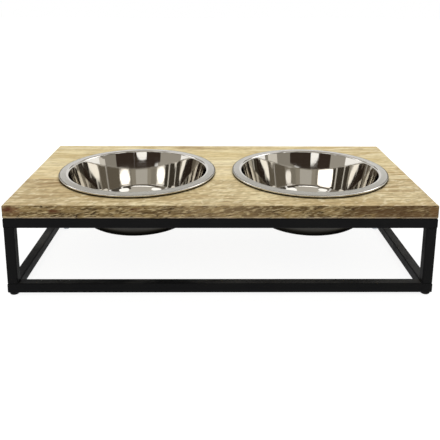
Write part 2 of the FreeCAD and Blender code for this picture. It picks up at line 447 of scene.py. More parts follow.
@dataclass(frozen=True)
class SawnMango:
    """Mango wood as the saw left it: dark, open, with slanting torn fibres and reddish knots.

    The sander runs along the lower arris and leaves it paler, from sanded_top down to sanded_full
    above the foot of the board.
    """

    foot: float
    name: str = "mango_wood_sawn_edge"
    dark: str = "#66512F"
    middle: str = "#9C8457"
    pale: str = "#D0BB8C"
    gap: str = "#3E2E19"
    sanded: str = "#C9B9A2"
    sanded_top: float = 2.2
    sanded_full: float = 1.0
    sanded_strength: float = 0.6
    stains: tuple[Stain, ...] = (
        Stain((-251, -137, 110), (17, 9, 9), "#85593C", 0.5),
        Stain((-254, -137, 112), (8, 9, 4), "#5A2A14", 0.9),
        Stain((-199, -137, 110), (10, 9, 3.5), "#5C3216", 0.9),
        Stain((-101, -137, 111), (9, 9, 4), "#5A3018", 0.8),
        Stain((254, -137, 110), (7, 9, 9), "#8F5528", 0.45),
        Stain((215, -137, 109), (90, 9, 24), "#5E4326", 0.75),
        Stain((-5, -137, 110), (80, 9, 22), "#C9AD85", 0.2),
        Stain((150, 137, 110), (18, 9, 5), "#5A3018", 0.9),
        Stain((-60, 137, 109), (90, 9, 22), "#5E4326", 0.6),
    )

    def material(self) -> Material:
        """Builds the finish.

        Returns:
            The material.
        """
        material, tree, place = start_material(self.name)
        broad = mottle(tree, place, (40, 36, 6.5), (0.38, 0.62), turn=(0, -4, 0), detail=3.0)
        # Torn fibre bundles, most of them nearly level and slanting up to the right.
        torn = mottle(tree, place, (7.5, 7.5, 1.6), (0.46, 0.7), turn=(0, -9, 0), detail=3.0)
        gaps = mottle(tree, place, (7, 7, 1.4), (0.55, 0.7), turn=(0, -11, 0), shift=(37, 0, 11))
        whole = mottle(tree, place, (12, 12, 3), (0.2, 0.55), shift=(11, 0, 5))
        level = add_node(tree, "ShaderNodeSeparateXYZ", {0: place}).outputs["Z"]
        start, full = ((self.foot + height) * MM for height in (self.sanded_top, self.sanded_full))
        reached = add_node(
            tree,
            "ShaderNodeMapRange",
            {"Value": level, "From Min": start, "From Max": full, "To Max": self.sanded_strength},
        )
        patchy = add_node(tree, "ShaderNodeMath", {0: reached, 1: whole}, operation="MULTIPLY")
        colour = glaze(
            tree,
            self.middle,
            (broad, self.dark),
            (torn, self.pale),
            (gaps, self.gap),
            *(stain.coat(tree, place, whole) for stain in self.stains),
            (patchy, self.sanded),
        )
        height = add_node(tree, "ShaderNodeMath", {0: torn, 1: gaps}, operation="SUBTRACT")
        bump = add_node(tree, "ShaderNodeBump", {"Strength": 0.5, "Distance": 0.4 * MM, "Height": height})
        return end_material(
            material, {"Base Color": colour, "Normal": bump, "Roughness": 0.75, "Specular IOR Level": 0.2}
        )


@dataclass(frozen=True)
class EndGrainMango:
    """Mango wood cut across: arcs of year rings and dark pores in rows.

    The rings' length is so great that they run on alike from one end of a board to the other.
    """

    name: str = "mango_wood_end_grain"
    pale: str = "#AE9565"
    dark: str = "#8A7049"
    pore: str = "#4C3820"
    pith: Triple = (0.0, 30.0, 10.0)
    ring: float = 5.5
    ring_length: float = 1e6

    def material(self) -> Material:
        """Builds the finish.

        Returns:
            The material.
        """
        material, tree, place = start_material(self.name)
        size = metres((self.ring_length, self.ring, self.ring))
        about = add_node(
            tree,
            "ShaderNodeMapping",
            {"Vector": place, "Location": metres(self.pith), "Scale": size},
            vector_type="TEXTURE",
        )
        rings = add_node(
            tree,
            "ShaderNodeTexWave",
            {"Vector": about, "Scale": 0.32, "Distortion": 2.6, "Detail": 3.0},
            wave_type="RINGS",
            rings_direction="X",
        )
        pores = mottle(tree, place, (6, 0.9, 0.9), (0.58, 0.7), reach=0.75, detail=1.0)
        colour = glaze(tree, self.pale, (rings.outputs["Fac"], self.dark), (pores, self.pore))
        bump = add_node(
            tree, "ShaderNodeBump", {"Strength": 0.5, "Distance": 0.2 * MM, "Height": pores}, invert=True
        )
        return end_material(
            material, {"Base Color": colour, "Normal": bump, "Roughness": 0.7, "Specular IOR Level": 0.2}
        )


@dataclass(frozen=True)
class PowderCoat:
    """Black powder coat baked on steel.

    Satin black, with faint orange peel. Faces that look nearly straight up are lighter: a little dust and a
    painted sheen.
    """

    name: str = "black_powder_coat"
    colour: str = "#101011"
    worn: str = "#171717"
    # The dust colour on upward faces is partly a painted sheen.
    dust: str = "#403F3D"
    dust_and_sheen_from: float = 0.75
    peel: float = 1.3

    def material(self) -> Material:
        """Builds the finish.

        Returns:
            The material.
        """
        material, tree, place = start_material(self.name)
        handled = mottle(tree, place, (38, 38, 38), (0.4, 0.7), detail=4.0)
        facing = add_node(tree, "ShaderNodeNewGeometry").outputs["Normal"]
        upward = add_node(tree, "ShaderNodeSeparateXYZ", {0: facing}).outputs["Z"]
        # Faces that look nearly straight up get a lighter coat: a little dust and a painted sheen.
        lying = add_node(tree, "ShaderNodeMapRange", {"Value": upward, "From Min": self.dust_and_sheen_from})
        strewn = mottle(tree, place, (90, 60, 60), (0.35, 0.65), detail=4.0)
        dust_and_sheen = add_node(tree, "ShaderNodeMath", {0: lying, 1: strewn}, operation="MULTIPLY")
        colour = glaze(tree, self.colour, (handled, self.worn), (dust_and_sheen, self.dust))
        peel = mottle(tree, place, (self.peel,) * 3, (0.25, 0.75), detail=1.0)
        bump = add_node(tree, "ShaderNodeBump", {"Strength": 0.25, "Distance": 0.05 * MM, "Height": peel})
        rough = add_node(tree, "ShaderNodeMapRange", {"Value": handled, "To Min": 0.58, "To Max": 0.7})
        return end_material(
            material, {"Base Color": colour, "Roughness": rough, "Normal": bump, "Specular IOR Level": 0.08}
        )


@dataclass(frozen=True)
class MouldedRubber:
    """Moulded black rubber: dull, slightly dusty and grained by the mould."""

    name: str = "moulded_black_rubber"
    colour: str = "#141414"
    dusty: str = "#2A2928"

    def material(self) -> Material:
        """Builds the finish.

        Returns:
            The material.
        """
        material, tree, place = start_material(self.name)
        dust = mottle(tree, place, (3, 3, 3), (0.5, 0.8), detail=4.0)
        colour = glaze(tree, self.colour, (dust, self.dusty))
        bump = add_node(tree, "ShaderNodeBump", {"Strength": 0.3, "Distance": 0.05 * MM, "Height": dust})
        return end_material(
            material, {"Base Color": colour, "Normal": bump, "Roughness": 0.8, "Specular IOR Level": 0.25}
        )


class Polish(Enum):
    """How far a part of a bowl's sheet is polished."""

    MIRROR = ("#CDC9C1", "#CDC9C1", 0.025, 0.07, 0.060)
    SATIN = ("#C6C3BB", "#C6C3BB", 0.26, 0.34, 0.004)
    # The drawn outside's dark base colour is painted shade under the bowl.
    DRAWN_AND_SHADED = ("#8A8883", "#302F2C", 0.32, 0.46, 0.008)
    # The tucked hem's dark base colour is a painted shadow line where the hem meets the wood.
    TUCKED_AND_SHADED = ("#E0DDD6", "#2A2825", 0.12, 0.22, 0.004)

    def __init__(self, colour: str, base: str, smooth: float, rough: float, wave: float) -> None:
        """Names the values.

        Args:
            colour: the steel's colour where the wheel reaches it.
            base: its colour where the wheel doesn't reach, dark as painted shade on the drawn and tucked
                parts.
            smooth: the least roughness.
            rough: the most roughness.
            wave: the depth of the waves that pressing leaves, in millimetres.
        """
        self.colour = colour
        self.base = base
        self.smooth = smooth
        self.rough = rough
        self.wave = wave


@dataclass(frozen=True)
class SpunSteel:
    """Stainless steel, pressed and spun on the polishing wheel: fine lines that run round the bowl.

    The wheel doesn't reach the base or the foot of the hem, so there the sheet goes dull, and it is
    painted dark as shade, from the higher of the dull heights above the seat down to the lower one.
    """

    polish: Polish
    axis: Triple
    line: float = 1.6
    # The heights above the seat between which the painted shade fades out.
    dull: Pair = (-56.0, -26.0)
    edge_tint: str = "#716F6A"

    def material(self) -> Material:
        """Builds the finish about the bowl's axis.

        Returns:
            The material.
        """
        side = "left" if self.axis[0] < 0 else "right"
        material, tree, place = start_material(f"stainless_steel_{self.polish.name.lower()}_{side}")
        about = add_node(
            tree,
            "ShaderNodeMapping",
            {"Vector": place, "Location": metres(self.axis)},
            vector_type="TEXTURE",
        )
        flat = add_node(tree, "ShaderNodeVectorMath", {0: about, 1: (1.0, 1.0, 0.0)}, operation="MULTIPLY")
        radius = add_node(tree, "ShaderNodeVectorMath", {0: flat}, operation="LENGTH")
        height = add_node(tree, "ShaderNodeSeparateXYZ", {0: about}).outputs["Z"]
        along = add_node(tree, "ShaderNodeCombineXYZ", {"X": radius, "Y": height})
        # Polishing lines are finer than this; they are drawn this coarse so that they show at all.
        lines = mottle(tree, along, (self.line, self.line, 1.0), (0.3, 0.7))
        smudge = mottle(tree, place, (26, 26, 26), (0.35, 0.7), detail=3.0)
        waves = mottle(tree, place, (30, 30, 22), (0.2, 0.8), detail=0.0)
        both = add_node(tree, "ShaderNodeMath", {0: lines, 1: smudge}, operation="ADD")
        rough = add_node(
            tree,
            "ShaderNodeMapRange",
            {"Value": both, "From Max": 2.0, "To Min": self.polish.smooth, "To Max": self.polish.rough},
        )
        fine = add_node(tree, "ShaderNodeBump", {"Strength": 0.05, "Distance": 0.01 * MM, "Height": lines})
        bump = add_node(
            tree,
            "ShaderNodeBump",
            {"Strength": 0.5, "Distance": self.polish.wave * MM, "Height": waves, "Normal": fine},
        )
        shading = {
            "Base Color": linear(self.polish.colour),
            "Metallic": 1.0,
            "Roughness": rough,
            "Normal": bump,
        }
        # The base and the foot of the tucked hem are painted dark as shade below the dull heights.
        if self.polish.base != self.polish.colour:
            low, high = (level * MM for level in self.dull)
            reached = add_node(
                tree, "ShaderNodeMapRange", {"Value": height, "From Min": low, "From Max": high}
            )
            shading["Base Color"] = glaze(tree, self.polish.base, (reached, self.polish.colour))
            shading["Specular Tint"] = linear(self.edge_tint)
        return end_material(material, shading)


@dataclass(frozen=True)
class ZincPlate:
    """Bright zinc plate on steel screws: a cool grey metal with a faint mottle."""

    name: str = "zinc_plated_steel"
    bright: str = "#C3C8CC"
    dull: str = "#9DA3A8"

    def material(self) -> Material:
        """Builds the finish.

        Returns:
            The material.
        """
        material, tree, place = start_material(self.name)
        spangle = mottle(tree, place, (1.6, 1.6, 1.6), (0.35, 0.65))
        colour = glaze(tree, self.bright, (spangle, self.dull))
        rough = add_node(tree, "ShaderNodeMapRange", {"Value": spangle, "To Min": 0.28, "To Max": 0.42})
        return end_material(material, {"Base Color": colour, "Roughness": rough, "Metallic": 1.0})


# The wooden top

HEARTWOOD = "#8D6C3C"
# The front board has the strongest ripples and brown streaks.
BOARD_FINISHES = {
    "front": PlanedMango(
        name="mango_wood_front_board",
        pale="#E3D3A6",
        warm="#CBB585",
        grain="#9A7C4A",
        shift=(310, 40, 0),
        ripple=0.42,
        streaks=0.28,
        stains=(
            Stain((-212, -42, 116), (92, 42, 40), HEARTWOOD, 0.9),
            Stain((-215, -112, 116), (75, 34, 40), HEARTWOOD, 0.5),
            Stain((-20, -118, 116), (170, 22, 40), HEARTWOOD, 0.45),
            Stain((226, -74, 116), (60, 30, 40), HEARTWOOD, 0.3),
        ),
    ),
    "middle": PlanedMango(
        name="mango_wood_middle_board",
        pale="#EEE0B6",
        warm="#DECA97",
        grain="#AF8E53",
        shift=(-120, 75, 0),
        ripple=0.22,
        streaks=0.22,
        stains=(Stain((250, -5, 116), (70, 70, 40), "#9C7A3C", 0.75),),
    ),
    "rear": PlanedMango(
        name="mango_wood_rear_board",
        pale="#EBDEB4",
        warm="#D9C793",
        grain="#A9894F",
        shift=(57, -33, 0),
        ripple=0.16,
        streaks=0.26,
        stains=(
            Stain((-40, 127, 116), (85, 15, 40), "#7E5A2C", 1.0),
            Stain((205, 105, 116), (105, 52, 40), "#A5823F", 0.6),
            Stain((-215, 95, 116), (90, 45, 40), "#A88C4C", 0.35),
        ),
    ),
}


@dataclass(frozen=True)
class EdgeWork:
    """What the tools leave along one kind of edge, in millimetres, with the wear as a share of the arris."""

    arris: float
    wear: float
    torn: float
    spacing: float


EDGE_WORK = {
    EdgeKind.SAWN: EdgeWork(arris=0.8, wear=0.5, torn=0.35, spacing=1.3),
    EdgeKind.END_GRAIN: EdgeWork(arris=0.8, wear=0.4, torn=0.12, spacing=1.6),
    EdgeKind.GLUED: EdgeWork(arris=0.12, wear=0.3, torn=0.0, spacing=4.0),
    EdgeKind.CUT_OUT: EdgeWork(arris=1.0, wear=0.1, torn=0.05, spacing=1.6),
}


@dataclass(frozen=True)
class OutlinePoint:
    """A point of a board's outline in plan, and how the stretch after it was made."""

    place: Vector
    kind: EdgeKind


@dataclass
class WoodenTop:
    """The glued-up top: three boards, the middle one left in three pieces by the cut-outs.

    The arrises' wear changes over the wear length. The saw's torn fibres have a length and a width,
    and their slant is in degrees. Their depth swings about its middle, both as shares of the deepest.
    """

    cut_out_diameter: float = 195.0
    arris_steps: int = 4
    side_levels: int = 9
    wear_length: float = 14.0
    slant: float = 9.0
    fibre_length: float = 11.0
    fibre_width: float = 3.2
    torn_middle: float = 0.5
    torn_swing: float = 0.7

    def walk(self, bowls: list[Vector], *legs: tuple[EdgeKind, float, float]) -> list[OutlinePoint]:
        """Points along a closed outline, which starts where its last leg ends.

        Args:
            bowls: the cut-outs' centres.
            legs: how each stretch was made and the place where it ends. A routed one follows the
                nearest cut-out, clockwise about its centre.

        Returns:
            The points in order.
        """
        radius = self.cut_out_diameter / 2 * MM
        points = []
        start = Vector(legs[-1][1:])
        for kind, *place in legs:
            end = Vector(place)
            length = (end - start).length
            if kind is EdgeKind.CUT_OUT:
                centre = min(bowls, key=lambda bowl: (bowl - end).length)
                first, last = (math.atan2(arm.y, arm.x) for arm in (start - centre, end - centre))
                sweep = (last - first) % -math.tau
                length = abs(sweep) * radius
            count = max(1, round(length / (EDGE_WORK[kind].spacing * MM)))
            for i in range(count):
                at = start.lerp(end, i / count)
                if kind is EdgeKind.CUT_OUT:
                    angle = first + sweep * i / count
                    at = centre + radius * Vector((math.cos(angle), math.sin(angle)))
                points.append(OutlinePoint(at, kind))
            start = end
        return points

    def outlines(self) -> dict[str, list[OutlinePoint]]:
        """Each board's outline in plan.

        Returns:
            The outlines by node name, each running anticlockwise seen from above.
        """
        low, front_joint = (corner.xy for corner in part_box("front_board"))
        rear_joint, high = (corner.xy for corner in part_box("rear_board"))
        front, rear = front_joint.y, rear_joint.y
        boxes = (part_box("bowl_left"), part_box("bowl_right"))
        bowls = [(box[0].xy + box[1].xy) / 2 for box in boxes]
        left, right = (bowl.x for bowl in bowls)
        radius = self.cut_out_diameter / 2 * MM
        # Half the length that a cut-out leaves out of each joint.
        near, far = (math.sqrt(radius**2 - (joint - bowls[0].y) ** 2) for joint in (front, rear))
        # Short names for the kinds of edge, in the order in which they are listed above.
        sawn, across, glued, routed = EdgeKind
        legs = {
            "front_board": (
                (sawn, high.x, low.y),
                (across, high.x, front),
                (glued, right + near, front),
                (routed, right - near, front),
                (glued, left + near, front),
                (routed, left - near, front),
                (glued, low.x, front),
                (across, low.x, low.y),
            ),
            "middle_board_left": (
                (glued, left - near, front),
                (routed, left - far, rear),
                (glued, low.x, rear),
                (across, low.x, front),
            ),
            "middle_board_centre": (
                (glued, right - near, front),
                (routed, right - far, rear),
                (glued, left + far, rear),
                (routed, left + near, front),
            ),
            "middle_board_right": (
                (glued, high.x, front),
                (across, high.x, rear),
                (glued, right + far, rear),
                (routed, right + near, front),
            ),
            "rear_board": (
                (glued, left - far, rear),
                (routed, left + far, rear),
                (glued, right - far, rear),
                (routed, right + far, rear),
                (glued, high.x, rear),
                (across, high.x, high.y),
                (sawn, low.x, high.y),
                (across, low.x, rear),
            ),
        }
        return {node: self.walk(bowls, *stretches) for node, stretches in legs.items()}

    def rings(self, low: float, high: float, arris: float) -> list[Pair]:
        """The rings that make up a board's side at one point of its outline.

        Args:
            low: the height of the underside.
            high: the height of the upper face.
            arris: the radius of the rounded arrises.

        Returns:
            Each ring's inset and height, from the underside up.
        """
        quarter = [math.pi / 2 * i / self.arris_steps for i in range(self.arris_steps + 1)]
        span = high - low - 2 * arris
        bend = [(arris * (1 - math.sin(angle)), arris * (1 - math.cos(angle))) for angle in quarter]
        rings = [(inset, low + rise) for inset, rise in bend]
        for k in range(1, self.side_levels + 1):
            rings.append((0.0, low + arris + span * k / (self.side_levels + 1)))
        return rings + [(inset, high - rise) for inset, rise in reversed(bend)]

    def torn_depth(self, place: Vector, level: float) -> float:
        """How far the saw tore the fibres in at a point of a side.

        Args:
            place: the point in plan.
            level: its height.

        Returns:
            A share of the deepest tear, from 0 to 1.
        """
        turn = math.radians(self.slant)
        run = place.x + place.y
        along = run * math.cos(turn) + level * math.sin(turn)
        across = level * math.cos(turn) - run * math.sin(turn)
        cell = Vector((along / (self.fibre_length * MM), across / (self.fibre_width * MM), 0.0))
        return min(1.0, max(0.0, self.torn_middle + self.torn_swing * noise.noise(cell)))

    def board(self, name: str, outline: list[OutlinePoint]) -> Mesh:
        """Builds a board: its sides in rings from the underside up, with worn arrises and torn fibres.

        Args:
            name: the CAD node's name.
            outline: its outline in plan.

        Returns:
            The board's mesh, with its faces, sawn sides and ends in material slots 0, 1 and 2.
        """
        low, high = (corner.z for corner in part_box(name))
        work = bmesh.new()
        columns = []
        count = len(outline)
        for i, here in enumerate(outline):
            before, after = outline[i - 1], outline[(i + 1) % count]
            steps = [(here.place - before.place).normalized(), (after.place - here.place).normalized()]
            inward = [Vector((-step.y, step.x)) for step in steps]
            mitre = (inward[0] + inward[1]) / (1 + inward[0].dot(inward[1]))
            jobs = (EDGE_WORK[before.kind], EDGE_WORK[here.kind])
            patch = noise.noise(Vector((*here.place, 0)) / (self.wear_length * MM))
            worn = 1 + min(job.wear for job in jobs) * patch
            arris = min(job.arris for job in jobs) * worn * MM
            torn = min(job.torn for job in jobs) * MM
            column = []
            for inset, level in self.rings(low, high, arris):
                place = here.place + mitre * (inset + torn * self.torn_depth(here.place, level))
                column.append(work.verts.new((place.x, place.y, level)))
            columns.append(column)
        for i, here in enumerate(outline):
            column, following = columns[i], columns[(i + 1) % count]
            for k in range(len(column) - 1):
                face = work.faces.new((column[k], following[k], following[k + 1], column[k + 1]))
                face.material_index = 2 if here.kind is EdgeKind.END_GRAIN else 1
                face.smooth = True
        caps = [
            work.faces.new([column[-1] for column in columns]),
            work.faces.new([column[0] for column in reversed(columns)]),
        ]
        bmesh.ops.triangulate(work, faces=caps)
        mesh = bpy.data.meshes.new(name)
        work.to_mesh(mesh)
        work.free()
        return mesh

    def build(self) -> None:
        """Builds and dresses every board."""
        sawn = SawnMango(foot=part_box("front_board")[0].z / MM).material()
        ends = EndGrainMango().material()
        planed = {place: finish.material() for place, finish in BOARD_FINISHES.items()}
        for node, outline in self.outlines().items():
            mesh = self.board(node, outline)
            for material in (planed[node.split("_")[0]], sawn, ends):
                mesh.materials.append(material)
            hand_over(new_object(f"wood_{node}", mesh), Body.STAND, Slot.WOOD, node)


# The bowls


class Zone(Enum):
    """The parts of a bowl's sheet that are finished alike."""

    INSIDE = 0
    RIM = 1
    OUTSIDE = 2
    TUCK = 3

    @property
    def socket(self) -> str:
        """The name of the lathe's input for the zone's finish."""
        return self.name.capitalize()


@dataclass(frozen=True)
class ProfilePoint:
    """A corner of the sheet's outline: its place, in millimetres, its bend radius and its zone."""

    radius: float
    height: float
    bend: float
    zone: Zone


@dataclass
class SteelBowl:
    """A pressed bowl with a hemmed rim, turned from the outline of its sheet.

    The draft is in degrees. The support is the distance from a bend at which a straight is held, and
    the tuck goes dark between the heights of its shade.
    """

    side: str
    body: Body
    sheet: float = 0.7
    body_diameter: float = 190.0
    depth: float = 68.5
    draft: float = 12.6
    base_bend: float = 29.0
    base_ring: float = 14.0
    recess_rise: float = 1.0
    recess_slope: float = 5.0
    recess_bend: float = 4.0
    rim_width: float = 13.0
    rim_rise: float = 0.9
    crest_bend: float = 3.0
    hem_width: float = 5.0
    hem_edge: float = 0.2
    hem_bend: float = 1.5
    seat: float = 0.2
    edge_bend: float = 0.25
    tuck_shade: Pair = (1.7, 2.8)
    support: float = 0.6
    segments: int = 160
    bend_points: int = 14
    zone_margin: float = 0.3

    def middle_line(self) -> list[Triple]:
        """The middle of the sheet from the tucked hem to the axis.

        Returns:
            The radius, height and bend of each corner.
        """
        draft = math.radians(self.draft)
        half = self.sheet / 2
        wall = self.body_diameter / 2 - half / math.cos(draft)
        outer = self.body_diameter / 2 + self.rim_width - half
        hem = self.seat + half
        edge = hem + 2 * self.hem_bend + self.hem_edge
        crest = edge + self.rim_rise
        base = half - self.depth
        base_corner = wall + base * math.tan(draft)
        recess = base_corner - self.base_bend * math.tan((math.pi / 2 - draft) / 2) - self.base_ring
        return [
            (outer - self.hem_width, hem, 0.0),
            (outer, hem, self.hem_bend),
            (outer, edge, self.hem_bend),
            (wall + crest * math.tan(draft), crest, self.crest_bend),
            (base_corner, base, self.base_bend),
            (recess, base, self.recess_bend),
            (recess - self.recess_slope, base + self.recess_rise, self.recess_bend),
            (0.0, base + self.recess_rise, 0.0),
        ]

    def sheet_face(self, offset: float, zones: list[Zone], flats: list[Zone]) -> list[ProfilePoint]:
        """One face of the sheet, parallel to its middle.

        Args:
            offset: how far the face lies to the left of the middle line.
            zones: the zone of each corner.
            flats: the zone of the straight after each corner.

        Returns:
            The face's corners, with two more on each straight so that its shading stays straight.
        """
        line = self.middle_line()
        corners = [Vector(corner[:2]) for corner in line]
        steps = [(b - a).normalized() for a, b in zip(corners, corners[1:])]
        lefts = [Vector((-step.y, step.x)) for step in steps]
        moved = [ProfilePoint(*(corners[0] + lefts[0] * offset), self.edge_bend, zones[0])]
        reaches = [self.edge_bend]
        for i in range(1, len(corners) - 1):
            turn = math.atan2(lefts[i - 1].dot(steps[i]), steps[i - 1].dot(steps[i]))
            split = (lefts[i - 1] + lefts[i]).normalized()
            place = corners[i] + split * (offset / math.cos(turn / 2))
            bend = line[i][2] - math.copysign(offset, turn)
            moved.append(ProfilePoint(*place, bend, zones[i]))
            reaches.append(bend * math.tan(abs(turn) / 2))
        moved.append(ProfilePoint(*(corners[-1] + lefts[-1] * offset), 0.0, zones[-1]))
        reaches.append(0.0)
        face = []
        for i, (start, end) in enumerate(zip(moved, moved[1:])):
            face.append(start)
            gap = Vector((end.radius - start.radius, end.height - start.height))
            first = reaches[i] + self.support
            last = gap.length - reaches[i + 1] - self.support
            if last > first:
                for run in (first, last):
                    place = Vector((start.radius, start.height)) + gap.normalized() * run
                    face.append(ProfilePoint(*place, 0.0, flats[i]))
        return face + moved[-1:]

    def outline(self) -> Mesh:
        """The sheet's outline as a line of edges.

        Returns:
            The line, with each point's bend and zone as attributes.
        """
        tucked, polished, drawn = [Zone.TUCK], [Zone.INSIDE] * 5, [Zone.OUTSIDE] * 8
        inside = self.sheet_face(-self.sheet / 2, tucked * 3 + polished, tucked * 2 + [Zone.RIM] + polished)
        outside = self.sheet_face(self.sheet / 2, drawn, drawn)
        points = list(reversed(inside)) + outside
        mesh = bpy.data.meshes.new(f"bowl_{self.side}_outline")
        places = [(p.radius * MM, 0.0, p.height * MM) for p in points]
        mesh.from_pydata(places, [(i, i + 1) for i in range(len(points) - 1)], [])
        bends = mesh.attributes.new("bend", "FLOAT", "POINT")
        bends.data.foreach_set("value", [p.bend * MM for p in points])
        zones = mesh.attributes.new("zone", "FLOAT", "POINT")
        zones.data.foreach_set("value", [float(p.zone.value) for p in points])
        return mesh

    def lathe(self) -> NodeTree:
        """The tree that bends the outline's corners and turns it about Z.

        Returns:
            The tree.
        """
        sockets = {"Segments": "NodeSocketInt", "Bend points": "NodeSocketInt"}
        sockets |= {zone.socket: "NodeSocketMaterial" for zone in Zone}
        tree, given = new_tree(f"bowl_lathe_{self.side}", sockets)
        segments = given.outputs["Segments"]
        line = add_node(tree, "GeometryNodeMeshToCurve", {0: given.outputs["Geometry"]})
        bend, zone = (
            add_node(tree, "GeometryNodeInputNamedAttribute", {"Name": name}, data_type="FLOAT")
            for name in ("bend", "zone")
        )
        bent = add_node(
            tree,
            "GeometryNodeFilletCurve",
            {"Curve": line, "Radius": bend, "Count": given.outputs["Bend points"], "Limit Radius": True},
            mode="POLY",
        )
        size = add_node(tree, "GeometryNodeAttributeDomainSize", {0: bent}, component="CURVE")
        turns = add_node(tree, "FunctionNodeIntegerMath", {0: segments, 1: 1}, operation="ADD")
        grid = add_node(
            tree, "GeometryNodeMeshGrid", {"Vertices X": size.outputs["Point Count"], "Vertices Y": turns}
        )
        index = add_node(tree, "GeometryNodeInputIndex")
        row = add_node(tree, "FunctionNodeIntegerMath", {0: index, 1: turns}, operation="DIVIDE")
        step = add_node(tree, "FunctionNodeIntegerMath", {0: index, 1: turns}, operation="MODULO")
        place = add_node(tree, "GeometryNodeInputPosition")
        corner, part = (
            add_node(
                tree,
                "GeometryNodeSampleIndex",
                {"Geometry": bent, "Value": value, "Index": row},
                data_type=kind,
                domain="POINT",
            )
            for value, kind in ((place, "FLOAT_VECTOR"), (zone, "FLOAT"))
        )
        share = add_node(tree, "ShaderNodeMath", {0: step, 1: segments}, operation="DIVIDE")
        angle = add_node(tree, "ShaderNodeMath", {0: share, 1: math.tau}, operation="MULTIPLY")
        turned = add_node(
            tree, "ShaderNodeVectorRotate", {"Vector": corner, "Angle": angle}, rotation_type="Z_AXIS"
        )
        shell = add_node(tree, "GeometryNodeSetPosition", {"Geometry": grid, "Position": turned})
        zoned = add_node(
            tree,
            "GeometryNodeStoreNamedAttribute",
            {"Geometry": shell, "Name": "zone", "Value": part},
            data_type="FLOAT",
            domain="POINT",
        )
        merged = add_node(tree, "GeometryNodeMergeByDistance", {0: zoned, "Distance": MERGE_DISTANCE})
        smooth = add_node(tree, "GeometryNodeSetShadeSmooth", {0: merged})
        flow = add_node(tree, "GeometryNodeRealizeInstances", {0: smooth})
        # A face where two zones meet has a value between theirs. Within the margin of the higher
        # zone's own value it takes that zone's finish.
        for finished in Zone:
            above = finished.value - self.zone_margin
            chosen = add_node(
                tree, "FunctionNodeCompare", {0: zone, 1: above}, data_type="FLOAT", operation="GREATER_THAN"
            )
            flow = add_node(
                tree,
                "GeometryNodeSetMaterial",
                {"Geometry": flow, "Selection": chosen, "Material": given.outputs[finished.socket]},
            )
        add_node(tree, "NodeGroupOutput", {0: flow})
        return tree

    def build(self) -> None:
        """Turns the bowl, seats it in its cut-out and dresses it."""
        node = f"bowl_{self.side}"
        low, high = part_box(node)
        axis = (low + high) / 2
        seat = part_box("front_board")[1].z
        centre = (axis.x / MM, axis.y / MM, seat / MM)
        finishes = {
            Zone.INSIDE: SpunSteel(Polish.MIRROR, centre),
            Zone.RIM: SpunSteel(Polish.SATIN, centre),
            Zone.OUTSIDE: SpunSteel(Polish.DRAWN_AND_SHADED, centre),
            Zone.TUCK: SpunSteel(Polish.TUCKED_AND_SHADED, centre, dull=self.tuck_shade),
        }
        values = {"Segments": self.segments, "Bend points": self.bend_points}
        values |= {zone.socket: finish.material() for zone, finish in finishes.items()}
        piece = grow(f"steel_{node}", self.outline(), self.lathe(), values)
        piece.data.transform(Matrix.Translation((axis.x, axis.y, seat)))
        face_outwards(piece.data)
        hand_over(piece, self.body, Slot.STEEL, node)


# The frame and its fixings


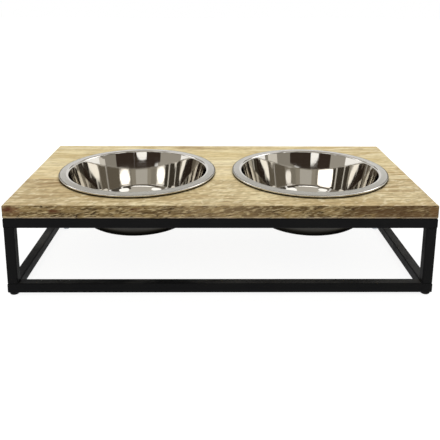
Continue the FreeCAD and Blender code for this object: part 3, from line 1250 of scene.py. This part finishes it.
@dataclass
class TubeFrame:
    """The welded frame: its tubes and feet stay as drawn, with weld beads in the inner corners."""

    corner_radius: float = 1.8
    bead: float = 1.0
    bead_shares: Pair = (0.8, 1.2)
    pitch: float = 1.1
    seed: int = 7

    def bead_lines(self) -> Mesh:
        """The lines along which the posts' inner faces are welded to the rings.

        Returns:
            A mesh of loose edges.
        """
        places = []
        trim = self.corner_radius * MM
        for corner in ("front_left", "front_right", "rear_right", "rear_left"):
            low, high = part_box(f"post_{corner}")
            x = high.x if high.x < 0 else low.x
            y = high.y if high.y < 0 else low.y
            for level in (low.z, high.z):
                places += [(x, low.y + trim, level), (x, high.y - trim, level)]
                places += [(low.x + trim, y, level), (high.x - trim, y, level)]
        mesh = bpy.data.meshes.new("weld_lines")
        mesh.from_pydata(places, [(i, i + 1) for i in range(0, len(places), 2)], [])
        return mesh

    def welder(self) -> NodeTree:
        """The tree that lays overlapping beads along the weld lines.

        Returns:
            The tree.
        """
        tree, given = new_tree(
            "welder",
            {
                "Bead radius": "NodeSocketFloat",
                "Least share": "NodeSocketFloat",
                "Greatest share": "NodeSocketFloat",
                "Pitch": "NodeSocketFloat",
                "Seed": "NodeSocketInt",
                "Finish": "NodeSocketMaterial",
            },
        )
        line = add_node(tree, "GeometryNodeMeshToCurve", {0: given.outputs["Geometry"]})
        points = add_node(
            tree,
            "GeometryNodeResampleCurve",
            {"Curve": line, "Length": given.outputs["Pitch"]},
            mode="LENGTH",
        )
        bead = add_node(
            tree, "GeometryNodeMeshIcoSphere", {"Radius": given.outputs["Bead radius"], "Subdivisions": 2}
        )
        size = add_node(
            tree,
            "FunctionNodeRandomValue",
            {
                2: given.outputs["Least share"],
                3: given.outputs["Greatest share"],
                "Seed": given.outputs["Seed"],
            },
            data_type="FLOAT",
        )
        laid = add_node(
            tree, "GeometryNodeInstanceOnPoints", {"Points": points, "Instance": bead, "Scale": size}
        )
        made = add_node(tree, "GeometryNodeRealizeInstances", {0: laid})
        smooth = add_node(tree, "GeometryNodeSetShadeSmooth", {0: made})
        dressed = add_node(
            tree, "GeometryNodeSetMaterial", {"Geometry": smooth, "Material": given.outputs["Finish"]}
        )
        add_node(tree, "NodeGroupOutput", {0: dressed})
        return tree

    def build(self) -> None:
        """Dresses the tubes and feet and lays the welds."""
        coat = PowderCoat().material()
        rubber = MouldedRubber().material()
        for name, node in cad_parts.items():
            finish = {"upper": coat, "lower": coat, "post": coat, "foot": rubber}.get(name.split("_")[0])
            if finish:
                for slot in node.material_slots:
                    slot.material = finish
                LOG.info("%s: dressed with %s", name, finish.name)
        values = {
            "Bead radius": self.bead * MM,
            "Least share": self.bead_shares[0],
            "Greatest share": self.bead_shares[1],
            "Pitch": self.pitch * MM,
            "Seed": self.seed,
            "Finish": coat,
        }
        welds = grow("weld_beads", self.bead_lines(), self.welder(), values)
        hand_over(welds, Body.STAND, Slot.COATING)


@dataclass
class TopScrews:
    """The pan-head screws that hold the top, driven up through the upper ring.

    The recess's width and length are half those of the whole cross.
    """

    diameter: float = 4.0
    head_diameter: float = 7.4
    head_height: float = 2.6
    head_side: float = 1.0
    head_flat: float = 4.0
    point: float = 4.5
    end_distance: float = 74.0
    recess_width: float = 0.5
    recess_length: float = 1.8
    recess_depth: float = 1.3
    segments: int = 48
    flat_rings: int = 8
    dome_rings: int = 6
    seed: int = 3

    def places(self) -> Mesh:
        """The screws' places: two in each long rail, one in each side rail.

        Returns:
            A mesh of loose points.
        """
        low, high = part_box("top_screws")
        head = self.head_diameter / 2 * MM
        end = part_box("front_board")[1].x - self.end_distance * MM
        middle = (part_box("front_board")[1].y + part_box("rear_board")[0].y) / 2
        rails = (low.y + head, high.y - head)
        points = [(x, y, low.z) for y in rails for x in (-end, end)]
        points += [(low.x + head, middle, low.z), (high.x - head, middle, low.z)]
        mesh = bpy.data.meshes.new("screw_places")
        mesh.from_pydata(points, [], [])
        return mesh

    def recess(self, x: float, y: float, level: float) -> float:
        """How deep the driver's cross is at a point of the head, in millimetres.

        Args:
            x: the point's first place across the head.
            y: its second place across the head.
            level: its height above the head's flat.

        Returns:
            The depth, which is zero off the cross.
        """
        across, along = sorted((abs(x), abs(y)))
        if level > 0 or across > self.recess_width or along > self.recess_length:
            return 0.0
        return self.recess_depth * min(1.0, (self.recess_length - along) / (self.recess_length / 2))

    def screw(self) -> Mesh:
        """One screw pointing up from its head's flat at zero, with a cross recess.

        Returns:
            The screw's mesh.
        """
        low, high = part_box("top_screws")
        length = (high.z - low.z) / MM
        flat, rim, shank = self.head_flat / 2, self.head_diameter / 2, self.diameter / 2
        dome = self.head_height - self.head_side
        rings = [(flat * k / self.flat_rings, 0.0) for k in range(1, self.flat_rings + 1)]
        for k in range(1, self.dome_rings + 1):
            angle = math.pi / 2 * k / self.dome_rings
            rings.append((flat + (rim - flat) * math.sin(angle), dome * (1 - math.cos(angle))))
        rings += [(rim, self.head_height), (shank, self.head_height), (shank, length - self.point)]
        work = bmesh.new()
        foot = work.verts.new((0, 0, self.recess_depth * MM))
        loops = []
        for radius, level in rings:
            loop = []
            for i in range(self.segments):
                angle = math.tau * i / self.segments
                x, y = radius * math.cos(angle), radius * math.sin(angle)
                loop.append(work.verts.new((x * MM, y * MM, (level + self.recess(x, y, level)) * MM)))
            loops.append(loop)
        tip = work.verts.new((0, 0, length * MM))
        for i in range(self.segments):
            j = (i + 1) % self.segments
            work.faces.new((foot, loops[0][j], loops[0][i]))
            work.faces.new((tip, loops[-1][i], loops[-1][j]))
            for lower, upper in zip(loops, loops[1:]):
                work.faces.new((lower[i], lower[j], upper[j], upper[i]))
        bmesh.ops.recalc_face_normals(work, faces=work.faces)
        mesh = bpy.data.meshes.new("screw")
        work.to_mesh(mesh)
        work.free()
        return mesh

    def driver(self) -> NodeTree:
        """The tree that sets a screw at each place, each turned as it happened to stop.

        Returns:
            The tree.
        """
        tree, given = new_tree(
            "screw_driver",
            {"Screw": "NodeSocketObject", "Seed": "NodeSocketInt", "Finish": "NodeSocketMaterial"},
        )
        screw = add_node(tree, "GeometryNodeObjectInfo", {"Object": given.outputs["Screw"]})
        turn = add_node(
            tree,
            "FunctionNodeRandomValue",
            {0: (0.0, 0.0, 0.0), 1: (0.0, 0.0, math.tau), "Seed": given.outputs["Seed"]},
            data_type="FLOAT_VECTOR",
        )
        set_in = add_node(
            tree,
            "GeometryNodeInstanceOnPoints",
            {"Points": given.outputs["Geometry"], "Instance": screw.outputs["Geometry"], "Rotation": turn},
        )
        made = add_node(tree, "GeometryNodeRealizeInstances", {0: set_in})
        dressed = add_node(
            tree, "GeometryNodeSetMaterial", {"Geometry": made, "Material": given.outputs["Finish"]}
        )
        add_node(tree, "NodeGroupOutput", {0: dressed})
        return tree

    def build(self) -> None:
        """Sets and dresses the screws."""
        pattern = new_object("screw_pattern", self.screw())
        values = {"Screw": pattern, "Seed": self.seed, "Finish": ZincPlate().material()}
        screws = grow("zinc_top_screws", self.places(), self.driver(), values)
        bpy.data.objects.remove(pattern)
        hand_over(screws, Body.STAND, Slot.ZINC, "top_screws")


# The studio


@dataclass(frozen=True)
class Softbox:
    """A rectangular lamp, aimed at the stand, that only lights: cards are mirrored in its place.

    Lengths are in metres.
    """

    name: str
    azimuth: float
    elevation: float
    distance: float
    width: float
    height: float
    radiance: float

    def build(self, aim: Vector) -> None:
        """Hangs the lamp.

        Args:
            aim: the point that it faces.
        """
        lamp = bpy.data.lights.new(self.name, "AREA")
        lamp.shape = "RECTANGLE"
        lamp.size, lamp.size_y = self.width, self.height
        lamp.energy = self.radiance * math.pi * self.width * self.height
        holder = bpy.data.objects.new(self.name, lamp)
        direction = towards(self.azimuth, self.elevation)
        turn = direction.to_track_quat("Z", "Y").to_matrix().to_4x4()
        holder.matrix_world = Matrix.Translation(aim + direction * self.distance) @ turn
        holder.visible_glossy = False
        bpy.context.scene.collection.objects.link(holder)


@dataclass(frozen=True)
class Card:
    """A curved card that only mirrors see, such as a lamp's front or the dark side of the studio.

    Azimuths are degrees from the rear towards the right. The distance is in metres. The roundness
    runs from a rectangle at 0 to an ellipse at 1, and the slope is the card's rise in degrees for
    each degree of azimuth.
    """

    name: str
    azimuths: Pair
    elevations: Pair
    colour: str
    distance: float = 2.6
    strength: float = 1.0
    roundness: float = 0.0
    slope: float = 0.0
    steps: int = 24

    def build(self, aim: Vector) -> None:
        """Hangs the card.

        Args:
            aim: the point that it curves round.
        """
        places, faces = [], []
        middle = sum(self.elevations) / 2
        half_turn = (self.azimuths[1] - self.azimuths[0]) / 2
        for i in range(self.steps + 1):
            across = 2 * i / self.steps - 1
            azimuth = sum(self.azimuths) / 2 + across * half_turn
            narrowing = 1.0
            if self.roundness:
                narrowing = (1 - abs(across) ** (2 / self.roundness)) ** (self.roundness / 2)
            level = middle + self.slope * across * half_turn
            for elevation in self.elevations:
                direction = towards(azimuth, level + (elevation - middle) * narrowing)
                places.append(aim + direction * self.distance)
            if i:
                faces.append((2 * i - 2, 2 * i - 1, 2 * i + 1, 2 * i))
        mesh = bpy.data.meshes.new(self.name)
        mesh.from_pydata(places, [], faces)
        card = new_object(self.name, mesh)
        for rays in ("camera", "diffuse", "shadow", "transmission", "volume_scatter"):
            setattr(card, f"visible_{rays}", False)
        material = bpy.data.materials.new(self.name)
        tree = empty_tree(material)
        shine = {"Color": linear(self.colour), "Strength": self.strength}
        glow = add_node(tree, "ShaderNodeEmission", shine)
        add_node(tree, "ShaderNodeOutputMaterial", {"Surface": glow})
        mesh.materials.append(material)


@dataclass
class Studio:
    """A white studio: pale floor, soft overhead light and the gear that the bowls mirror.

    The floor's size and the reach of its glow are in metres.
    """

    aim: Triple = (0.0, 0.0, 100.0)
    ambient: float = 0.5
    sky: str = "#FFFFFF"
    floor_size: float = 14.0
    floor_colour: str = "#EFEEEC"
    seen_floor_colour: str = "#8A8A89"
    floor_glow: Pair = (0.9, 1.0)
    glow_reach: Pair = (0.3, 0.8)
    softboxes: tuple[Softbox, ...] = (
        Softbox("main_softbox", 0, 66, distance=1.7, width=1.5, height=1.0, radiance=4.0),
        Softbox("fill_softbox", 180, 44, distance=2.0, width=2.2, height=1.2, radiance=0.7),
    )
    # Each card's name, azimuths, elevations and colour, then its distance, strength, roundness and slope.
    cards: tuple[Card, ...] = (
        Card("lamp_left", (-83, -48), (29.2, 33.3), "#FAFBFF", 0.72, 4.2, 1.0, 0.1),
        Card("lamp_left_upper", (-80, -52), (36.2, 39.8), "#FAFBFF", 0.72, 2.4, 1.0, 0.05),
        Card("lamp_left_top", (-74, -52), (36.5, 62), "#FAFBFF", 1.9, 1.7),
        Card("lamp_right", (54, 101), (25, 34.4), "#FAFBFF", 0.72, 4.2, 0.6, -0.096),
        Card("lamp_right_upper", (59, 99), (35, 39.5), "#FAFBFF", 0.72, 4.2, 1.0, -0.078),
        Card("lamp_right_top", (60, 88), (37, 62), "#FAFBFF", 1.9, 1.7),
        Card("lamp_front", (163, 207), (21, 25), "#FFFFFF", 1.4, 2.4, 0.8, 0.05),
        Card("lamp_front_right", (131, 155), (28, 50), "#FFFFFF", 1.4, 1.7, 0.7),
        Card("lamp_front_left", (208, 230), (28, 44), "#FFFFFF", 1.4, 1.7, 0.7),
        Card("dark_card_right", (139, 178), (8.3, 20), "#40362F", 0.51),
        Card("dark_card_left", (198, 223), (7.9, 20), "#40362F", 0.74),
        Card("bright_gap", (175, 202), (9.5, 13.7), "#FFFFFF", 1.2, 1.5, 1.0),
        Card("dark_gap", (170, 208), (-6, 20), "#40362F", 1.5),
        Card("bright_room_right", (98, 113), (-7, 11), "#F4F0E8", 0.42),
        Card("room_right", (103, 160), (-8, 11), "#A19C93"),
        Card("room_left", (212, 256), (-8, 11), "#B5B0A7"),
        Card("bright_side_right", (62, 103), (-6, 9), "#FFFFFF", 2.6, 1.4),
        Card("bright_side_left", (-104, -66), (-6, 9), "#FFFFFF", 2.6, 1.4),
        Card("camera_strip_right", (165, 170), (12.5, 24), "#FFFFFF", 2.4),
        Card("camera_strip_left", (189, 195), (12.5, 24), "#FFFFFF", 2.4),
        Card("camera_side", (150, 210), (12.5, 22), "#3C3832"),
        Card("side_strip_right", (109, 114), (11, 42), "#FFFFFF", 2.4, 1.2),
        Card("side_strip_front_right", (138, 142), (11, 30), "#FFFFFF", 2.4, 1.2),
        Card("side_strip_left", (-127, -123), (11, 42), "#FFFFFF", 2.4, 0.9),
        Card("dark_side_right", (94, 158), (11, 42), "#57524A", 2.5),
        Card("dark_side_left", (-151, -80), (11, 42), "#8C857A"),
        Card("rear_dusk_left", (-80, -36), (28.5, 40), "#B5B1A9"),
        Card("rear_shade_left", (-36, -20), (28.5, 40), "#CBC7BF"),
        Card("rear_shade_right", (24, 38), (28.5, 40), "#D6D2CA"),
        Card("rear_dusk_right", (38, 60), (28.5, 40), "#C0BCB4"),
        Card("rear_ceiling", (-40, 40), (40, 60), "#B4B0A8"),
        Card("rear_screen", (-58, 58), (22, 28.5), "#8C8880"),
        Card("front_ceiling", (148, 212), (22, 60), "#D4D0C8"),
        Card("ceiling", (-180, 180), (60, 89), "#ABA79F"),
    )

    def build(self) -> None:
        """Sets up the floor, the world, the lamps and the cards."""
        for gear in self.softboxes + self.cards:
            gear.build(Vector(metres(self.aim)))
        self.floor()
        self.world()

    def floor(self) -> None:
        """A pale floor that keeps the stand's soft shadow and fades to white away from it."""
        half = self.floor_size / 2
        mesh = bpy.data.meshes.new("floor")
        corners = [(-half, -half, 0), (half, -half, 0), (half, half, 0), (-half, half, 0)]
        mesh.from_pydata(corners, [], [(0, 1, 2, 3)])
        material, tree, place = start_material("white_floor_paint")
        seen = self.seen(tree)
        colour = glaze(tree, self.floor_colour, (seen, self.seen_floor_colour))
        paint = add_node(tree, "ShaderNodeBsdfDiffuse", {"Color": colour})
        away = add_node(tree, "ShaderNodeVectorMath", {0: place}, operation="LENGTH")
        near, far = self.glow_reach
        least, most = self.floor_glow
        level = add_node(
            tree,
            "ShaderNodeMapRange",
            {"Value": away, "From Min": near, "From Max": far, "To Min": least, "To Max": most},
        )
        strength = add_node(tree, "ShaderNodeMath", {0: seen, 1: level}, operation="MULTIPLY")
        glow = add_node(tree, "ShaderNodeEmission", {"Strength": strength})
        both = add_node(tree, "ShaderNodeAddShader", {0: paint, 1: glow})
        # Seen from below, the floor lets the underside show.
        below = add_node(tree, "ShaderNodeNewGeometry").outputs["Backfacing"]
        clear = add_node(tree, "ShaderNodeBsdfTransparent")
        sided = add_node(tree, "ShaderNodeMixShader", {0: below, 1: both, 2: clear})
        add_node(tree, "ShaderNodeOutputMaterial", {"Surface": sided})
        mesh.materials.append(material)
        new_object("floor", mesh)

    def seen(self, tree: NodeTree) -> Source:
        """One for rays that show the background: from the camera, off metal or through glass.

        Args:
            tree: the tree that asks.

        Returns:
            A source that is 1 or 0.
        """
        path = add_node(tree, "ShaderNodeLightPath")
        seen = path.outputs["Is Camera Ray"]
        for ray in ("Is Glossy Ray", "Is Transmission Ray"):
            seen = add_node(tree, "ShaderNodeMath", {0: seen, 1: path.outputs[ray]}, operation="MAXIMUM")
        return seen

    def world(self) -> None:
        """White where it is seen, and softer where it only lights."""
        world = bpy.data.worlds.new("studio")
        tree = empty_tree(world)
        level = add_node(tree, "ShaderNodeMapRange", {"Value": self.seen(tree), "To Min": self.ambient})
        sky = add_node(tree, "ShaderNodeBackground", {"Color": linear(self.sky), "Strength": level})
        add_node(tree, "ShaderNodeOutputWorld", {"Surface": sky})
        bpy.context.scene.world = world


@dataclass
class PhotoCamera:
    """The camera as it was fitted to the photograph, kept as level as the framing allows by its shift.

    Angles are in degrees and the clip distances in metres.
    """

    place: Triple = (-10.78, -793.06, 365.81)
    focal_pixels: float = 585.70
    pitch: float = 12.456
    yaw: float = 0.753
    roll: float = 0.311
    shift_pixels: float = 100.0
    sensor: float = 36.0
    clip: Pair = (0.01, 100.0)

    def build(self) -> None:
        """Sets up the camera."""
        lens = bpy.data.cameras.new("photo_camera")
        lens.sensor_width = self.sensor
        lens.lens = self.focal_pixels / IMAGE_PIXELS * self.sensor
        lens.shift_y = -self.shift_pixels / IMAGE_PIXELS
        lens.clip_start, lens.clip_end = self.clip
        holder = bpy.data.objects.new("photo_camera", lens)
        holder.matrix_world = (
            Matrix.Translation(metres(self.place))
            @ Matrix.Rotation(math.radians(-self.yaw), 4, "Z")
            @ Matrix.Rotation(math.radians(90 - self.pitch), 4, "X")
            @ Matrix.Rotation(math.radians(self.roll), 4, "Z")
        )
        bpy.context.scene.collection.objects.link(holder)
        bpy.context.scene.camera = holder


def main() -> None:
    """Builds and dresses the whole stand, then the studio and the camera."""
    logging.basicConfig(level=logging.INFO, format="%(message)s")
    bpy.context.scene.view_settings.view_transform = "Standard"
    WoodenTop().build()
    TubeFrame().build()
    TopScrews().build()
    SteelBowl("left", Body.LEFT_BOWL).build()
    SteelBowl("right", Body.RIGHT_BOWL).build()
    Studio().build()
    PhotoCamera().build()


if __name__ == "__main__":
    main()
